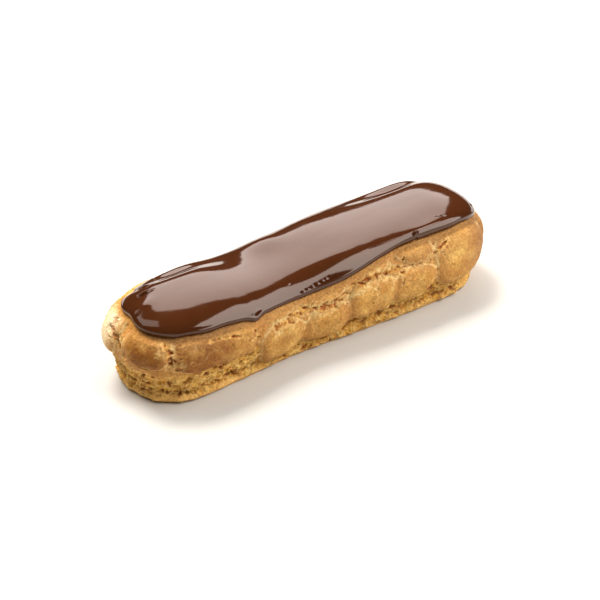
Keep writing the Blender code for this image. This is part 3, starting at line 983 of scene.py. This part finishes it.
def new_material(name):
    """A material with its node tree and its surface."""
    material = bpy.data.materials.new(name)
    material.use_nodes = True
    return material, material.node_tree, material.node_tree.nodes["Principled BSDF"]


def add_bump(tree, surface, height, strength, distance):
    """Raises and sinks the surface by a height output."""
    bump = new_node(tree, "ShaderNodeBump", Strength=strength, Distance=distance)
    tree.links.new(height, bump.inputs["Height"])
    tree.links.new(bump.outputs["Normal"], surface.inputs["Normal"])


def crust_colour(tree, mottle, holes):
    """Golden crust with its darker and lighter places laid over it one by one, painted shade and painted
    light among them.
    """
    belly = mask_output(tree, "belly")
    # Off the puffs' bellies the crust turns duller: partly a duller crust, partly painted shade in the
    # crevices between the puffs and under the icing
    off_belly_shade = calculate(tree, "MULTIPLY_ADD", belly, -0.8, 0.8)
    browned = calculate(tree, "MULTIPLY", patches(tree, mottle, size=0.007, contrast=3.0, middle=0.35), belly)
    toast = patches(tree, mottle, size=0.004, contrast=1.8, middle=0.86)
    toast = calculate(tree, "MULTIPLY", toast, mask_output(tree, "toasted"))
    crumb = blend_colours(tree, patches(tree, mottle, size=0.0022, contrast=3.5), DEEP_CRUMB, LIGHT_CRUMB)
    pale = patches(tree, mottle, size=0.005, contrast=2.5, middle=0.75)
    pale = calculate(tree, "MULTIPLY", mask_output(tree, "pale"), pale)
    coats = (
        (off_belly_shade, DULL_SHADE_GOLD),
        (browned, BAKED_BROWN),
        (toast, TOASTED_BROWN),
        # Painted shade under the icing's near edge and over the taller end
        (mask_output(tree, "dull_shade"), DULL_SHADE_TAN),
        (mask_output(tree, "torn"), crumb),
        (mask_output(tree, "crests", 0.9), CRUMB_CREST),
        (pale, PALE_EDGE),
        # Painted light at the lower end, partly a paler crust
        (mask_output(tree, "lit_pale_end", 0.8), LIT_PALE_TIP),
        (mask_output(tree, "lip", 0.85), LIP_GOLD),
        (mask_output(tree, "flake"), FLAKE_TAN),
        # Painted shade in the hollows
        (mask_output(tree, "hollow_shade", 0.92), HOLLOW_SHADE_BROWN),
        # Painted shade in the pinholes, which the bump also sinks
        (calculate(tree, "MULTIPLY", holes, 0.45), PINHOLE_SHADE_BROWN),
    )
    colour = blend_colours(tree, patches(tree, mottle, size=0.005, contrast=3.4), GOLD, LIGHT_GOLD)
    for amount, shade in coats:
        colour = blend_colours(tree, amount, colour, shade)
    speckle = blend_colours(tree, patches(tree, mottle, size=0.0007, contrast=3.0), DARK_SPECK, LIGHT_SPECK)
    return blend_colours(tree, 1.0, colour, speckle, "MULTIPLY")


def crust_material(mottle, pinholes):
    """Golden baked choux: toasted bellies, pale edges, straw-coloured torn crumb, painted light at the lower
    end and painted shade in its hollows, pinholes and crevices.
    """
    material, tree, surface = new_material("golden_crust")
    surface.inputs["IOR"].default_value = 1.4
    holes = pinholes_output(tree, pinholes, size=0.0013, width=0.27)
    holes = calculate(tree, "MULTIPLY", holes, patches(tree, mottle, size=0.004, contrast=3.0, middle=0.45))
    tree.links.new(crust_colour(tree, mottle, holes), surface.inputs["Base Color"])
    roughness = calculate(tree, "MULTIPLY_ADD", patches(tree, mottle, size=0.003, contrast=2.0), 0.2, 0.6)
    tree.links.new(roughness, surface.inputs["Roughness"])
    craggy = calculate(tree, "MULTIPLY_ADD", mask_output(tree, "torn"), 0.8, 0.5)
    grain = calculate(tree, "MULTIPLY", patches(tree, mottle, size=0.0011, contrast=2.2), craggy)
    grain = calculate(tree, "MULTIPLY_ADD", holes, -0.5, grain)
    add_bump(tree, surface, grain, strength=1.0, distance=0.0004)
    return material


def icing_material(mottle):
    """Glossy milk-dark chocolate icing."""
    material, tree, surface = new_material("glossy_chocolate")
    surface.inputs["IOR"].default_value = 1.5
    surface.inputs["Specular Tint"].default_value = CHOCOLATE_SHINE
    clouds = patches(tree, mottle, size=0.012, contrast=1.5)
    tree.links.new(blend_colours(tree, clouds, DARK_CHOCOLATE, LIGHT_CHOCOLATE), surface.inputs["Base Color"])
    roughness = calculate(tree, "MULTIPLY_ADD", patches(tree, mottle, size=0.006, contrast=2.0), 0.04, 0.07)
    tree.links.new(roughness, surface.inputs["Roughness"])
    add_bump(tree, surface, patches(tree, mottle, size=0.006, contrast=1.0), strength=0.2, distance=0.0001)
    return material


# The camera looks down on the eclair's near side and its lower end
CAMERA_TURN = math.radians(-34.9)
CAMERA_RISE = math.radians(33)
CAMERA_DISTANCE = 0.4558
CAMERA_LENS = 90
CAMERA_SENSOR = 36
LOOKED_AT = Vector((-0.0003, 0, 0.015))
AIM_LEFT = 0.00036
AIM_DOWN = 0.0071
TOWARDS_CAMERA = Vector((math.sin(CAMERA_TURN), -math.cos(CAMERA_TURN), 0))
CAMERA_RIGHT = Vector((math.cos(CAMERA_TURN), math.sin(CAMERA_TURN), 0))
UP = Vector((0, 0, 1))
WHITE = (1, 1, 1)

# Lights: name, turn from the camera's side, elevation, distance, width, height, brightness, tint, and whether
# the icing's shine shows them
LIGHTS = (
    ("back_softbox", 181, 40.5, 0.9, 0.64, 0.54, 4.5, (1, 0.94, 0.91), True),
    ("right_softbox", 84, 43, 0.9, 0.66, 0.76, 5.7, WHITE, True),
    ("left_softbox", -98, 52, 0.9, 0.34, 0.50, 2.3, WHITE, True),
    ("left_key", -140, 56, 1.2, 0.60, 0.60, 19.5, WHITE, False),
    ("overhead_fill", 0, 89, 1.5, 2.0, 2.0, 0.63, (1, 0.95, 0.88), False),
)

# Surroundings, size of the table, and how fast its glow rises and from how far out
SKY_TINT = (1, 0.98, 0.95, 1)
SKY_LIGHT = 0.03
SKY_SEEN_EXTRA = 1.1
TABLE_HALF_SIZE = 1.6
GLOW_RISE = 2.5
GLOW_START = 0.3


def direction(turn, rise):
    """Direction from the eclair at an elevation and an angle to the right of the camera's, in degrees."""
    turn, rise = math.radians(turn), math.radians(rise)
    level = TOWARDS_CAMERA * math.cos(turn) + CAMERA_RIGHT * math.sin(turn)
    return level * math.cos(rise) + UP * math.sin(rise)


def make_camera():
    """The camera, aimed a little left of and below the eclair's middle."""
    back = TOWARDS_CAMERA * math.cos(CAMERA_RISE) + UP * math.sin(CAMERA_RISE)
    up = UP * math.cos(CAMERA_RISE) - TOWARDS_CAMERA * math.sin(CAMERA_RISE)
    data = bpy.data.cameras.new("camera")
    data.sensor_width = CAMERA_SENSOR
    data.lens = CAMERA_LENS
    camera = place_piece("camera", data)
    camera.location = LOOKED_AT + back * CAMERA_DISTANCE
    aim = LOOKED_AT - CAMERA_RIGHT * AIM_LEFT - up * AIM_DOWN
    camera.rotation_euler = (aim - camera.location).to_track_quat("-Z", "Y").to_euler()
    bpy.context.scene.camera = camera


def make_light(name, turn, rise, distance, width, height, brightness, tint, glossy):
    """A rectangular light that faces the eclair, of a given brightness whatever its size."""
    data = bpy.data.lights.new(name, "AREA")
    data.shape = "RECTANGLE"
    data.size = width
    data.size_y = height
    data.color = tint
    data.energy = brightness * width * height * math.pi
    light = place_piece(name, data)
    away = direction(turn, rise)
    light.location = away * distance
    light.rotation_euler = away.to_track_quat("Z", "Y").to_euler()
    light.visible_camera = False
    light.visible_glossy = glossy


def table_material(mottle):
    """A pale plain finish that glows far out, so that the floor fades into white."""
    material, tree, surface = new_material("white_table")
    clouds = patches(tree, mottle, size=0.3, contrast=1.0)
    colour = blend_colours(tree, clouds, TABLE_WHITE, LIGHT_TABLE_WHITE)
    tree.links.new(colour, surface.inputs["Base Color"])
    surface.inputs["Roughness"].default_value = 0.9
    surface.inputs["Specular IOR Level"].default_value = 0.0
    surface.inputs["Emission Strength"].default_value = 1.0
    place = new_node(tree, "ShaderNodeTexCoord").outputs["Object"]
    reach = new_node(tree, "ShaderNodeVectorMath", {"operation": "LENGTH"})
    tree.links.new(place, reach.inputs[0])
    past_start = calculate(tree, "SUBTRACT", reach.outputs["Value"], GLOW_START)
    far_out = calculate(tree, "MULTIPLY", past_start, GLOW_RISE, clamp=True)
    tree.links.new(blend_colours(tree, far_out, NO_GLOW, FAR_GLOW), surface.inputs["Emission Color"])
    return material


def make_table(mottle):
    """A pale plain floor."""
    half = TABLE_HALF_SIZE
    corners = [(-half, -half, 0), (half, -half, 0), (half, half, 0), (-half, half, 0)]
    mesh = bpy.data.meshes.new("table")
    mesh.from_pydata(corners, [], [(0, 1, 2, 3)])
    mesh.materials.append(table_material(mottle))
    place_piece("table", mesh)


def make_world():
    """Surroundings that look bright to the camera but hardly light the eclair."""
    world = bpy.data.worlds.new("studio")
    world.use_nodes = True
    tree = world.node_tree
    background = tree.nodes["Background"]
    background.inputs["Color"].default_value = SKY_TINT
    seen = new_node(tree, "ShaderNodeLightPath").outputs["Is Camera Ray"]
    strength = calculate(tree, "MULTIPLY_ADD", seen, SKY_SEEN_EXTRA, SKY_LIGHT)
    tree.links.new(strength, background.inputs["Strength"])
    bpy.context.scene.world = world


def dress(piece, material, node):
    """Gives a piece its material and puts it in the place of its solid."""
    piece.data.materials.append(material)
    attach(piece, "root")
    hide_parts(node)


def main():
    """Makes the eclair, the table, the surroundings, the lights and the camera."""
    mottle = mottle_group()
    dress(make_crust(), crust_material(mottle, pinholes_group()), "choux_bun")
    dress(make_icing(), icing_material(mottle), "chocolate_icing")
    make_table(mottle)
    make_world()
    for light in LIGHTS:
        make_light(*light)
    make_camera()
    bpy.context.scene.view_settings.view_transform = "Standard"


main()
